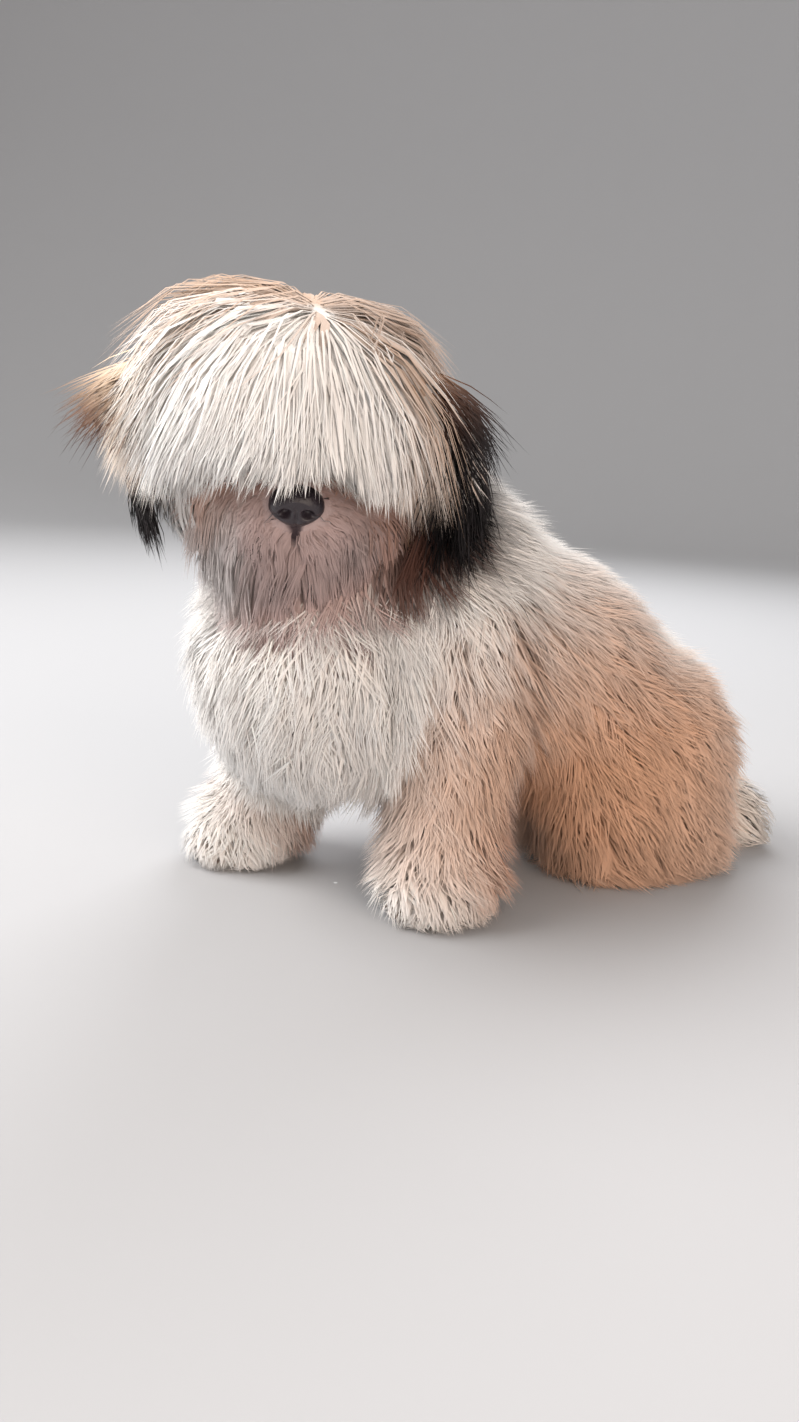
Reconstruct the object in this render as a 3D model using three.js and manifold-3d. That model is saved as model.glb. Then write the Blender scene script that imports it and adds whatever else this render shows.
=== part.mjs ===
// A shih tzu puppy sitting, life size, in millimetres, its head turned to its left and lowered a little.
// +Z is up, -Y is where the chest faces and +X is the dog's left side. Z = 0 is the floor that it sits on.
// The flesh is a smooth union of balls and tapered limbs. Each node is a core that stands a little over
// that flesh, with flat tapered locks of hair rooted in it that bend and overlap along the lie of the coat.

import * as THREE from "three";
import { mergeVertices } from "three/addons/utils/BufferGeometryUtils.js";
import Module from "manifold-3d";

const wasm = await Module();
wasm.setup();
const { Manifold, Mesh: ManifoldMesh } = wasm;

// Driving dimensions.
const BLEND = 11; // how far two forms of the flesh run into each other
const BODY_CORE = 6; // height of the body's cores over the flesh
const HEAD_CORE = 3; // the same on the head, where the eyes and lips show
const GAP = 0.34; // clearance between nodes
const LOCK_FLOOR = 3; // lowest height of a lock's middle line
const EYE_RADIUS = 8.6;
const LID = 1.9; // thickness of the eyelids
const NOSE = { wide: 11.4, deep: 7.5, tall: 8.6 };
const EAR = { length: 64, width: 48, thick: 5, cup: 9, bow: 19, splay: 0.4, hair: { left: 64, right: 54 } };

// The head's place, and how far it is turned to the dog's left and lowered.
const HEAD_AT = [5, -34, 223];
const HEAD_YAW = 63;
const HEAD_PITCH = 26;

const v = (x, y, z) => new THREE.Vector3(x, y, z);
const mix = (a, b, share) => a + (b - a) * share;
const radians = THREE.MathUtils.degToRad;
const ramp = THREE.MathUtils.smoothstep;
const DOWN = v(0, 0, -1);
const flat = (way, normal) => way.clone().addScaledVector(normal, -way.dot(normal)).normalize();
const SIDES = { left: 1, right: -1 };

// The head has a frame of its own: x is the dog's left, -y is where the nose points and z is up.
const headFrame = new THREE.Matrix4()
  .makeRotationFromEuler(new THREE.Euler(radians(HEAD_PITCH), 0, radians(HEAD_YAW), "ZXY"))
  .setPosition(...HEAD_AT);
const headTurn = new THREE.Quaternion().setFromRotationMatrix(headFrame);
const onHead = (x, y, z) => v(x, y, z).applyMatrix4(headFrame);
const headWay = (turn, climb) =>
  v(Math.sin(turn) * Math.cos(climb), -Math.cos(turn) * Math.cos(climb), Math.sin(climb))
    .applyQuaternion(headTurn);

// Flesh is made of balls with three radii and of limbs that taper between two ends.
const upright = new THREE.Quaternion();
const tipped = (degrees) => new THREE.Quaternion().setFromAxisAngle(v(1, 0, 0), radians(degrees));
function ball(at, radii, turn = upright) {
  const back = turn.clone().invert();
  return (p) => {
    const q = p.clone().sub(at).applyQuaternion(back).divide(radii);
    const scaled = Math.max(q.length(), 1e-6);
    return (scaled * (scaled - 1)) / Math.max(q.divide(radii).length(), 1e-9);
  };
}
function limb(from, to, r0, r1) {
  const along = to.clone().sub(from);
  return (p) => {
    const share = THREE.MathUtils.clamp(p.clone().sub(from).dot(along) / along.lengthSq(), 0, 1);
    return p.distanceTo(from.clone().addScaledVector(along, share)) - mix(r0, r1, share);
  };
}
const headBall = (x, y, z, rx, ry, rz) => ball(onHead(x, y, z), v(rx, ry, rz), headTurn);

const torsoFlesh = [
  ball(v(-5, -12, 117), v(46, 40, 48)), // breast
  ball(v(0, 52, 127), v(48, 62, 55), tipped(-32)), // ribs
  ball(v(0, 116, 105), v(50, 62, 48), tipped(-33)), // loin
  ball(v(0, 170, 56), v(48, 48, 54)), // rump
];
const neckFlesh = [limb(v(0, 34, 150), v(3, -14, 200), 38, 34)];
const skullFlesh = [
  headBall(0, 5, 9, 46, 47, 43), // cranium
  headBall(0, -22, 12, 32, 24, 28), // forehead
  headBall(26, -16, -14, 21, 21, 21), // left cheek
  headBall(-26, -16, -14, 21, 21, 21), // right cheek
  headBall(0, -4, -30, 27, 30, 18), // throat
];
const muzzleFlesh = [
  headBall(0, -38, -7, 14, 18, 12), // bridge
  headBall(11, -41, -18, 16, 16, 14), // left upper lip
  headBall(-11, -41, -18, 16, 16, 14), // right upper lip
  headBall(0, -35, -32, 17, 17, 9), // chin
];
const headFlesh = [...skullFlesh, ...muzzleFlesh];
const foreFlesh = {
  left: [
    limb(v(33, 34, 138), v(38, 38, 86), 23, 20), // upper arm
    limb(v(38, 38, 88), v(51, 28, 26), 18, 13), // forearm
    ball(v(53, 25, 11), v(17, 22, 14)), // paw
  ],
  right: [
    limb(v(-33, 26, 138), v(-40, 14, 86), 23, 19),
    limb(v(-41, 14, 88), v(-52, -20, 26), 17, 12),
    ball(v(-53, -27, 11), v(17, 22, 14)),
  ],
};
const hindFlesh = (side) => [
  ball(v(36 * side, 166, 54), v(27, 48, 43), tipped(12)), // thigh
  limb(v(44 * side, 130, 42), v(48 * side, 172, 18), 17, 14), // shank
  limb(v(50 * side, 194, 12), v(42 * side, 154, 11), 11, 13), // foot
  ball(v(39 * side, 145, 11), v(15, 19, 14)), // toes
];
const TAIL_ROUTE = [v(2, 206, 58), v(10, 238, 24), v(38, 250, 13)];
const tailFlesh = TAIL_ROUTE.slice(1).map((to, i) => limb(TAIL_ROUTE[i], to, 13 - 2 * i, 11 - 2 * i));
const allFlesh = [
  ...torsoFlesh, ...neckFlesh, ...headFlesh, ...foreFlesh.left, ...foreFlesh.right,
  ...hindFlesh(1), ...hindFlesh(-1), ...tailFlesh,
];

// Distance to a list of forms that run together where they meet, and the way straight out of it.
function field(flesh, p) {
  return flesh.reduce((near, form) => {
    const d = form(p);
    const h = Math.max(BLEND - Math.abs(near - d), 0) / BLEND;
    return Math.min(near, d) - (h * h * BLEND) / 4;
  }, Infinity);
}
function outward(flesh, p) {
  const slope = (step) => field(flesh, p.clone().add(step)) - field(flesh, p.clone().sub(step));
  return v(slope(v(0.5, 0, 0)), slope(v(0, 0.5, 0)), slope(v(0, 0, 0.5))).normalize();
}

// The last point along a ray from inside the flesh that is at a height over it.
function reach(flesh, from, way, height) {
  let r = 150;
  for (let i = 0; i < 50; i++) {
    r = Math.max(r - 0.8 * (field(flesh, from.clone().addScaledVector(way, r)) - height), 0);
  }
  return from.clone().addScaledVector(way, r);
}

// A closed geometry as a solid that can be joined and cut.
function solid(geometry) {
  geometry.deleteAttribute("normal");
  geometry.deleteAttribute("uv");
  const merged = mergeVertices(geometry, 1e-4);
  const mesh = new ManifoldMesh({
    numProp: 3,
    vertProperties: merged.attributes.position.array,
    triVerts: new Uint32Array(merged.index.array),
  });
  return new Manifold(mesh);
}

// A ball whose points are moved by shape(point, share), where share runs from pole to pole.
function shaped(around, tall, shape) {
  const geometry = new THREE.SphereGeometry(1, around, tall);
  const position = geometry.attributes.position;
  for (let i = 0; i < position.count; i++) {
    const p = v(0, 0, 0).fromBufferAttribute(position, i);
    const q = shape(p, Math.acos(THREE.MathUtils.clamp(p.y, -1, 1)) / Math.PI);
    position.setXYZ(i, q.x, q.y, q.z);
  }
  return solid(geometry);
}

// A ray from a line inside the flesh. The ways from its start tilt back and those from its end tilt on,
// as the ways do from a ball's middle. The angles are the tilt from the line and the turn round it.
function ray([from, to], tilt, turn) {
  const along = to.clone().sub(from).normalize();
  const across = v(1, 0, 0).addScaledVector(along, -along.x).normalize();
  const through = along.clone().cross(across);
  const way = across
    .multiplyScalar(Math.sin(tilt) * Math.cos(turn))
    .addScaledVector(through, Math.sin(tilt) * Math.sin(turn))
    .addScaledVector(along, -Math.cos(tilt));
  return { from: from.clone().lerp(to, tilt / Math.PI), way };
}
function core(flesh, line, columns, rows, height) {
  return shaped(columns, rows, (p) => {
    const { from, way } = ray(line, Math.acos(THREE.MathUtils.clamp(p.y, -1, 1)), Math.atan2(p.z, p.x));
    return reach(flesh, from, way, height);
  });
}

// Seeded draws, so that the locks vary in the same way each time.
let seed = 63;
function draw() {
  seed = (seed * 16807) % 2147483647;
  return seed / 2147483647;
}
const vary = (amount) => 1 + amount * (2 * draw() - 1);

// A lock's middle line starts sunk in the core, stands out and bends over into the lie of the coat.
// It keeps at least the height that its share of the length asks for, and with cling 1 just that height.
const LOCK_STEPS = 5;
const LOCK_TAPER = [0, 0.75, 1, 0.85, 0.5, 0];
function lockLine(root, normal, style) {
  const { lie, length, rise, low = BODY_CORE - 6, cling = 1, stand = 0.2, hang = 0, climb = 0.9 } = style;
  const sway = radians(14) * (2 * draw() - 1);
  let p = root.clone().addScaledVector(normal, low);
  const way = lie(p, normal).lerp(normal, stand).normalize();
  const points = [p];
  for (let i = 1; i <= LOCK_STEPS; i++) {
    p = p.clone().addScaledVector(way, length / LOCK_STEPS);
    const out = outward(allFlesh, p);
    const lack = mix(low, rise, (i / LOCK_STEPS) ** climb) - field(allFlesh, p);
    p.addScaledVector(out, lack > 0 ? lack : lack * cling);
    p.z = Math.max(p.z, LOCK_FLOOR);
    points.push(p);
    way.lerp(lie(p, out).applyAxisAngle(out, sway), 0.6).addScaledVector(DOWN, hang).normalize();
  }
  return points;
}

// The ways across a lock at each point of its line: along the skin and out from it.
function lockFrames(line) {
  return line.map((p, i) => {
    const along = line[Math.min(i + 1, LOCK_STEPS)].clone().sub(line[Math.max(i - 1, 0)]).normalize();
    const wide = outward(allFlesh, p).cross(along).normalize();
    return { wide, thin: along.clone().cross(wide) };
  });
}

// A lock is a low triangle, its ridge outwards, carried along its line and tapered to a point.
// Grown, it is the cutter that clears a neighbour.
function lock({ line, frames, width, thick }, grow) {
  const half = width / 2;
  const inside = (half * thick) / (half + Math.hypot(half, thick));
  const last = line[LOCK_STEPS].clone().sub(line[LOCK_STEPS - 1]).normalize();
  const points = line.map((p, i) => p.clone().addScaledVector(last, i === LOCK_STEPS ? 3 * grow : 0));
  return shaped(3, LOCK_STEPS, (p, share) => {
    const i = Math.round(share * LOCK_STEPS);
    if (i === 0 || i === LOCK_STEPS) return points[i].clone();
    const size = LOCK_TAPER[i] + grow / inside;
    const ridge = p.x < -0.1;
    return points[i]
      .clone()
      .addScaledVector(frames[i].wide, ridge ? 0 : Math.sign(p.z) * half * size)
      .addScaledVector(frames[i].thin, (ridge ? thick - inside : -inside) * size);
  });
}

// A lock grows only where its root is on open skin off the floor, clear of the flesh that lies over it
// and not on the underside, unless its style says so. Near the floor it is short enough to end there.
// A lock that would twist sharply is left out.
const CLEAR = 4;
const STRAIGHT = 0.75;
function lockAt(root, style, lift = 1) {
  const normal = outward(allFlesh, root);
  const length = Math.min(style.length * vary(0.14), 1.3 * (root.z - LOCK_FLOOR) + 6);
  const size = { length, rise: style.rise * lift * vary(0.05) };
  const line = lockLine(root, normal, { ...style, ...size });
  const near = (flesh) => field(flesh, root) < CLEAR || field(flesh, line[2]) < CLEAR;
  const bare = Math.abs(field(allFlesh, root)) < 5 && !(style.under ?? []).some(near);
  const frames = lockFrames(line);
  const straight = frames.every(({ wide }, i) => i === 0 || wide.dot(frames[i - 1].wide) > STRAIGHT);
  return {
    line,
    frames,
    width: style.width * vary(0.12),
    thick: style.thick * vary(0.1),
    open: bare && straight && root.z > 8 && normal.z > (style.below ?? -0.55),
  };
}

// Rows of roots, where every other row is half a step on, and every other lock in a row lies higher,
// over the edges of its neighbours. A row is its number of locks and its place, which aim() takes.
const OVER = 1.5;
function rows(flesh, list, aim, style) {
  return list.flatMap(([count, ...place], row) =>
    Array.from({ length: count }, (_, column) => {
      const share = (column + 0.4 - 0.5 * (row % 2) + 0.2 * draw()) / count;
      const { from, way } = aim(share, ...place);
      return lockAt(reach(flesh, from, way, 0), style, column % 2 === 0 ? 1 : OVER);
    }).filter((one) => one.open));
}
const rings = (flesh, line, list, style, turns = [0, 360]) =>
  rows(flesh, list, (share, tilt) => ray(line, radians(tilt), radians(mix(...turns, share))), style);
const fans = (from, turns, list, style) => rows(headFlesh, list, (share, climb) => {
  const way = headWay(radians(mix(...turns, share)), radians(climb));
  return { from, way };
}, style);

// The lie of the coat: a direction along the skin at each place.
const bodyLie = (p, normal) => flat(v(0, mix(-0.1, 0.5, ramp(p.y, 0, 70)), -0.9), normal);
const legLie = (p, normal) => flat(v(0, 0.1, -1), normal).addScaledVector(normal, 0.1).normalize();
const thighLie = (p, normal) => flat(v(0.1 * Math.sign(p.x), 0.5, -0.9), normal);
const tailLie = (p, normal) => flat(v(0.8, 0.25, -0.2), normal);
const fromPoint = (point, drop) => (p, normal) =>
  flat(p.clone().sub(point).normalize().addScaledVector(DOWN, drop), normal);
const crownLie = fromPoint(onHead(0, 2, 62), 0.5);
const muzzleLie = fromPoint(onHead(0, -48, 2), 0.9);

// Locks of the head: forelock over the eyes, crown and nape, cheeks, moustache and beard.
const skullMiddle = onHead(0, 0, 4);
const muzzleMiddle = onHead(0, -34, -16);
function headCoat() {
  const low = HEAD_CORE - 5;
  const fall = { width: 26, thick: 6, low, lie: crownLie, cling: 0.25, hang: 0.2, stand: 0.5, climb: 0.5 };
  const beard = { ...fall, width: 17, thick: 5, lie: muzzleLie, cling: 0.2, stand: 0.4, below: -1 };
  const puff = { ...fall, width: 29, stand: 0.45, climb: 0.45 };
  const nape = { ...fall, width: 32, length: 58, rise: 21, cling: 0.8, stand: 0.35, climb: 0.8 };
  const crown = { ...fall, width: 34, length: 54, rise: 15, climb: 0.35, cling: 0.85 };
  return [
    ...fans(skullMiddle, [-16, 16], [[2, 38]], { ...fall, length: 42, rise: 17 }),
    ...fans(skullMiddle, [-30, 30], [[2, 60]], { ...fall, length: 62, rise: 25 }),
    ...fans(skullMiddle, [-44, 44], [[2, 78]], { ...fall, length: 80, rise: 32 }),
    ...fans(skullMiddle, [80, 280], [[5, 70]], crown),
    ...fans(skullMiddle, [86, 274], [[3, 44], [4, 14], [4, -16]], nape),
    ...Object.values(SIDES).flatMap((side) => [
      ...fans(skullMiddle, [16 * side, 84 * side], [[3, 34]], { ...fall, width: 30, length: 60, rise: 18 }),
      ...fans(skullMiddle, [30 * side, 96 * side], [[2, 56]], { ...puff, length: 86, rise: 30 }),
      ...fans(skullMiddle, [44 * side, 110 * side], [[1, 74]], { ...puff, length: 98, rise: 33 }),
      ...fans(skullMiddle, [44 * side, 100 * side], [[2, -8], [2, -34]],
        { ...fall, width: 24, length: 44, rise: 20, cling: 0.4 }),
      ...fans(muzzleMiddle, [22 * side, 100 * side], [[3, 22], [2, -12]], { ...beard, length: 42, rise: 14 }),
    ]),
    ...fans(onHead(0, -28, -24), [-80, 80], [[3, -40]],
      { ...beard, width: 20, length: 48, rise: 12, hang: 0.4 }),
  ];
}

// Ears hang from the sides of the skull as cupped leaves, with long hair over them and past their tips.
function earAxes(side) {
  const out = v(EAR.splay * side, 0.05, 0).applyQuaternion(headTurn);
  const along = out.addScaledVector(DOWN, 0.92).normalize();
  const thin = flat(v(side, -0.1, 0.3).applyQuaternion(headTurn), along);
  return { base: onHead(43 * side, 6, 33), along, thin, wide: thin.clone().cross(along) };
}
function onEar(side, x, share, lift) {
  const { base, along, wide, thin } = earAxes(side);
  return base
    .clone()
    .addScaledVector(along, EAR.length * share)
    .addScaledVector(wide, (EAR.width / 2) * x)
    .addScaledVector(thin, EAR.bow * Math.sin(Math.PI * share) - EAR.cup * x * x + lift);
}
const earLeaf = (side, grow) => shaped(10, 8, (p) =>
  onEar(side, 1.02 * p.x, mix(-0.02, 1.02, (1 - p.y) / 2), (EAR.thick / 2 + grow) * p.z));
function earCoat(name) {
  const side = SIDES[name];
  const { along, wide, thin } = earAxes(side);
  const style = { width: 24, thick: 6, rise: 24, low: 0, cling: 0, hang: 0.18, stand: 0.2 };
  return [[0.1, 3, 52, 1.0], [0.42, 4, EAR.hair[name], -0.1]].flatMap(([share, count, length, flare]) =>
    Array.from({ length: count }, (_, i) => {
      const x = mix(-0.7, 0.7, i / (count - 1));
      const way = along.clone().addScaledVector(wide, x * 0.4).addScaledVector(thin, flare).normalize();
      const lift = i % 2 === 0 ? 1 : OVER;
      return lockAt(onEar(side, x, share, 0), { ...style, length, lie: () => way.clone() }, lift);
    }));
}

// The eyes, nose and mouth.
const headForm = (place, radii, grow, fineness) =>
  shaped(fineness, fineness - 4, (p) =>
    onHead(...place.map((at, i) => at + p.getComponent(i) * (radii[i] + grow))));
const eyePlace = (side) => [20.5 * side, -36, 6];
const round = (radius) => [radius, radius, radius];
const bothSides = (form) => Manifold.union(Object.values(SIDES).map(form));
const eye = (side, grow) => headForm(eyePlace(side), round(EYE_RADIUS), grow, 12);
const pad = (grow) => headForm([0, -57, -7], [NOSE.wide, NOSE.deep, NOSE.tall], grow, 12);
const nostrils = () => bothSides((side) => headForm([4.6 * side, -64, -7.5], [2.2, 3.4, 1.7], 0, 8));

function rod(points, radius) {
  const ring = new THREE.Shape().absarc(0, 0, radius, 0, 2 * Math.PI);
  const route = new THREE.CatmullRomCurve3(points);
  return solid(new THREE.ExtrudeGeometry(ring, {
    steps: 6, curveSegments: 3, bevelEnabled: false, extrudePath: route,
  }));
}
function mouth() {
  const onLips = (x, z) => {
    const way = onHead(x, -60, z).sub(muzzleMiddle).normalize();
    return reach(muzzleFlesh, muzzleMiddle, way, HEAD_CORE);
  };
  const lips = [-26, -14, 0, 14, 26].map((x) => onLips(x, -26 + 0.008 * x * x));
  const philtrum = [-14, -20, -27].map((z) => onLips(0, z));
  return rod(lips, 1.3).add(rod(philtrum, 1.1));
}
function headCore(grow) {
  const skull = core(skullFlesh, [onHead(0, 2, 30), onHead(0, -2, -22)], 20, 14, HEAD_CORE + grow);
  const muzzle = core(muzzleFlesh, [onHead(0, -34, -8), onHead(0, -32, -24)], 18, 12, HEAD_CORE + grow);
  const lids = bothSides((side) => headForm(eyePlace(side), round(EYE_RADIUS + LID), grow, 12));
  return Manifold.union([skull, muzzle, lids]);
}
function faceCuts() {
  const openings = bothSides((side) => headForm([22.5 * side, -50, 6], [9.4, 11, 6.8], 0, 12));
  return openings.add(mouth());
}

// The legs and tail.
const FORE_LINES = {
  left: [v(34, 34, 132), v(38, 38, 86), v(52, 26, 16)],
  right: [v(-34, 26, 132), v(-41, 14, 86), v(-52, -26, 16)],
};
function foreCore(name, grow) {
  const [top, elbow, foot] = FORE_LINES[name];
  const arm = core(foreFlesh[name].slice(0, 2), [top, elbow], 12, 6, BODY_CORE + grow);
  const paw = core(foreFlesh[name].slice(1), [elbow, foot], 14, 10, BODY_CORE + grow);
  return arm.add(paw);
}
function foreCoat(name) {
  const [top, elbow, foot] = FORE_LINES[name];
  const flesh = foreFlesh[name];
  const under = [headFlesh, neckFlesh, torsoFlesh];
  const style = { width: 27, thick: 6, length: 54, rise: 21, lie: legLie, under };
  const feather = { ...style, length: 70, rise: 32, cling: 0.2, stand: 0.6, hang: 0.3 };
  return [
    ...rings(flesh, [top, elbow], [[4, 80]], style),
    ...rings(flesh, [elbow, foot], [[5, 58], [4, 86]], { ...style, width: 29, length: 48, rise: 18 }),
    ...rings(flesh, [elbow, foot], [[5, 112]], { ...style, length: 40, rise: 10 }),
    ...rings(flesh, [elbow, foot], [[2, 66]], feather, [215, 325]),
  ];
}
const hindLine = (side) => [v(42 * side, 142, 40), v(44 * side, 190, 34)];
const tailCore = (grow) => Manifold.union(TAIL_ROUTE.slice(1).map((to, i) =>
  core([tailFlesh[i]], [TAIL_ROUTE[i], to], 10, 8, BODY_CORE - 1 + grow)));

const TORSO_LINE = [v(0, 6, 118), v(0, 180, 58)];
const TORSO_RINGS = [22, 44, 60, 76, 92, 108, 124, 150].map((tilt) => [9, tilt]);
const NECK_LINE = [v(0, 28, 156), v(2, -8, 192)];
const torsoStyle = { width: 31, thick: 6.5, length: 76, rise: 19, lie: bodyLie, under: [headFlesh] };
const neckStyle = { width: 30, thick: 6.5, length: 62, rise: 20, lie: bodyLie, under: [headFlesh] };
const hindUnder = [torsoFlesh, foreFlesh.left, foreFlesh.right];
const hindStyle = { width: 30, thick: 6.5, length: 60, rise: 17, lie: thighLie, under: hindUnder };
const HIND_RINGS = [[5, 44], [7, 80], [7, 116]];
const tailStyle = { width: 22, thick: 6, length: 42, rise: 15, lie: tailLie, under: [torsoFlesh] };

const WHITE = 0xf0e6da;
const parts = {
  eye_left: { colour: 0x1b0f0a, roughness: 0.05, core: (grow) => eye(1, grow) },
  eye_right: { colour: 0x1b0f0a, roughness: 0.05, core: (grow) => eye(-1, grow) },
  nose: { colour: 0x2a1f22, roughness: 0.35, core: pad, cuts: nostrils },
  ear_left: { colour: 0x6b4a35, core: (grow) => earLeaf(1, grow), locks: earCoat("left") },
  ear_right: { colour: 0x8a6a4c, core: (grow) => earLeaf(-1, grow), locks: earCoat("right") },
  head: { colour: 0xd9c9b6, core: headCore, cuts: faceCuts, locks: headCoat() },
  neck: {
    colour: WHITE,
    core: (grow) => core(neckFlesh, NECK_LINE, 14, 10, BODY_CORE + grow),
    locks: rings(neckFlesh, NECK_LINE, [[6, 50], [6, 84], [6, 118]], neckStyle, [90, 450]),
  },
  torso: {
    colour: WHITE,
    core: (grow) => core(torsoFlesh, TORSO_LINE, 18, 16, BODY_CORE + grow),
    locks: rings(torsoFlesh, TORSO_LINE, TORSO_RINGS, torsoStyle, [-90, 270]),
  },
  tail: {
    colour: WHITE,
    core: tailCore,
    locks: tailFlesh.flatMap((form, i) =>
      rings([form], [TAIL_ROUTE[i], TAIL_ROUTE[i + 1]], [[4, 80]], tailStyle)),
  },
  front_leg_left: { colour: WHITE, core: (grow) => foreCore("left", grow), locks: foreCoat("left") },
  front_leg_right: { colour: WHITE, core: (grow) => foreCore("right", grow), locks: foreCoat("right") },
  hind_leg_left: {
    colour: WHITE,
    core: (grow) => core(hindFlesh(1), hindLine(1), 18, 12, BODY_CORE + grow),
    locks: rings(hindFlesh(1), hindLine(1), HIND_RINGS, hindStyle),
  },
  hind_leg_right: {
    colour: WHITE,
    core: (grow) => core(hindFlesh(-1), hindLine(-1), 18, 12, BODY_CORE + grow),
    locks: rings(hindFlesh(-1), hindLine(-1), HIND_RINGS, hindStyle),
  },
};

// A node gives way to every node before it in the list, grown by the gap, and keeps only its largest
// closed surface. The grown form has each lock in it both grown and as it is.
function build(part, ...sizes) {
  const hair = (part.locks ?? []).flatMap((one) => sizes.map((grow) => lock(one, grow)));
  return Manifold.union([part.core(sizes[0]), ...hair]);
}
const largest = (form) => form.decompose().reduce((a, b) => (a.volume() > b.volume() ? a : b));

const dog = new THREE.Group();
const before = [];
for (const [name, part] of Object.entries(parts)) {
  let form = build(part, 0);
  if (part.cuts) form = form.subtract(part.cuts());
  if (before.length > 0) form = form.subtract(Manifold.union(before));
  form = largest(form.trimByPlane([0, 0, 1], 0));
  before.push(build(part, GAP, 0));
  const { vertProperties, triVerts } = form.getMesh();
  const geometry = new THREE.BufferGeometry();
  geometry.setAttribute("position", new THREE.BufferAttribute(vertProperties, 3));
  geometry.setIndex(new THREE.BufferAttribute(triVerts, 1));
  const material = new THREE.MeshStandardMaterial({
    color: part.colour, roughness: part.roughness ?? 0.95, metalness: 0,
  });
  const mesh = new THREE.Mesh(geometry, material);
  mesh.name = name;
  dog.add(mesh);
}

// The origin is on the floor at the middle of the bounding box.
const box = new THREE.Box3().setFromObject(dog, true);
const middle = box.getCenter(v(0, 0, 0));
dog.position.set(-middle.x, -middle.y, -box.min.z);
dog.updateMatrixWorld(true);

export default dog;
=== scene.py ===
"""A sitting shih tzu puppy, life size, as a still model: one skin, a long coat in tufts, eyes, nose
and claws.

Sizes are millimetres in the dog's own frame: +Z is up from the floor, -Y is where the chest faces and +X is
the dog's left side. A shape is placed in metres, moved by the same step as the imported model.
"""

import math

import bpy
import numpy as np
from mathutils import Matrix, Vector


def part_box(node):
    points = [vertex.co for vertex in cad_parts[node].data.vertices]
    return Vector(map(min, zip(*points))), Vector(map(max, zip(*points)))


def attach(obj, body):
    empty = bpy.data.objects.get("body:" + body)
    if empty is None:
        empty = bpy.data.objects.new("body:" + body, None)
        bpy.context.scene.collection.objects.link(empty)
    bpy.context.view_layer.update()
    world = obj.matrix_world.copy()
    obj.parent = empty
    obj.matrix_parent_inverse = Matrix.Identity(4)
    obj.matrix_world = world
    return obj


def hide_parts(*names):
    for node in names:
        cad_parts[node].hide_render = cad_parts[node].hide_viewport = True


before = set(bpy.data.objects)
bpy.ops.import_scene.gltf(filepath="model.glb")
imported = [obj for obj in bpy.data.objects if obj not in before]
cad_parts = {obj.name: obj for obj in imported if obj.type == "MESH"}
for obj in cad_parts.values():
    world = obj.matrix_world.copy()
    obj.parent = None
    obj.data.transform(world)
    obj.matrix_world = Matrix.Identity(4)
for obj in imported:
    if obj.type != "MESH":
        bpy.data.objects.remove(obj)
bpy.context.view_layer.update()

# Driving sizes. CELL is the mesh size of the skin, and the floors are the least heights of the skin, of a
# tuft's points, of its finished line and of its line as it grows.
BLEND = 11
EYE_RADIUS = 8.6
EYE_PLACE = (20.5, -36, 6)
LID = 1.9
HEAD_AT = np.array([5.0, -34.0, 223.0])
HEAD_YAW = math.radians(63)
HEAD_PITCH = math.radians(26)
EAR = {"length": 64, "width": 48, "thick": 5, "cup": 9, "bow": 19, "splay": 0.4}
EAR_HAIR = {"left": 64, "right": 54}
CELL = 2.6
SKIN_FLOOR, TUFT_FLOOR, LINE_FLOOR, GROW_FLOOR = 0.4, 0.3, 0.8, 1.2
DOWN = np.array([0.0, 0.0, -1.0])
SIDES = {"left": 1, "right": -1}

# The head's own frame: x is the dog's left, -y is where the nose points and z is up.
HEAD_TURN = np.array((Matrix.Rotation(HEAD_YAW, 3, "Z") @ Matrix.Rotation(HEAD_PITCH, 3, "X")))


def on_head(x, y, z):
    """A point of the head's frame in the dog's frame."""
    return HEAD_TURN @ np.array([x, y, z], float) + HEAD_AT


def to_head(points):
    """Points of the dog's frame in the head's frame."""
    return (points - HEAD_AT) @ HEAD_TURN


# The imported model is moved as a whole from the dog's own frame. Its left eye shows by how much.
SHIFT = np.array(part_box("eye_left")).mean(0) * 1000 - on_head(*EYE_PLACE)


def unit(ways):
    """Each way divided by its length."""
    return ways / np.maximum(np.linalg.norm(ways, axis=-1, keepdims=True), 1e-9)


def mix(a, b, share):
    """a where share is 0, b where it is 1, and a straight run between."""
    return a + (b - a) * share


def ramp(x, low, high):
    """0 below low, 1 above high and an even S between."""
    t = np.clip((x - low) / (high - low), 0, 1)
    return t * t * (3 - 2 * t)


def column(values):
    """A row of numbers as a column that multiplies points."""
    return np.asarray(values)[..., None]


def flat(way, normal):
    """The part of a way that lies along a surface, made one long."""
    return unit(way - column((way * normal).sum(-1)) * normal)


# Forms of the flesh.
def ball(at, radii, turn=np.eye(3)):
    """k0 (k0 - 1) / k1, where k0 is the length of q / radii, k1 that of q / radii squared, and q is a
    point in the ball's own turned frame: about the distance to an ellipsoid."""
    at, radii = np.array(at, float), np.array(radii, float)

    def distance(p):
        q = (p - at) @ turn / radii
        scaled = np.maximum(np.linalg.norm(q, axis=-1), 1e-6)
        return scaled * (scaled - 1) / np.maximum(np.linalg.norm(q / radii, axis=-1), 1e-9)

    return distance


def limb(start, end, r0, r1):
    """The distance to the nearest point of a line less a radius that runs from r0 to r1 along it."""
    start = np.array(start, float)
    along = np.array(end, float) - start

    def distance(p):
        share = np.clip((p - start) @ along / (along @ along), 0, 1)
        return np.linalg.norm(p - start - column(share) * along, axis=-1) - mix(r0, r1, share)

    return distance


def tipped(degrees):
    """A turn about the x axis."""
    return np.array(Matrix.Rotation(math.radians(degrees), 3, "X"))


def head_ball(x, y, z, rx, ry, rz):
    """A ball that is placed and turned with the head."""
    return ball(on_head(x, y, z), (rx, ry, rz), HEAD_TURN)


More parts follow.
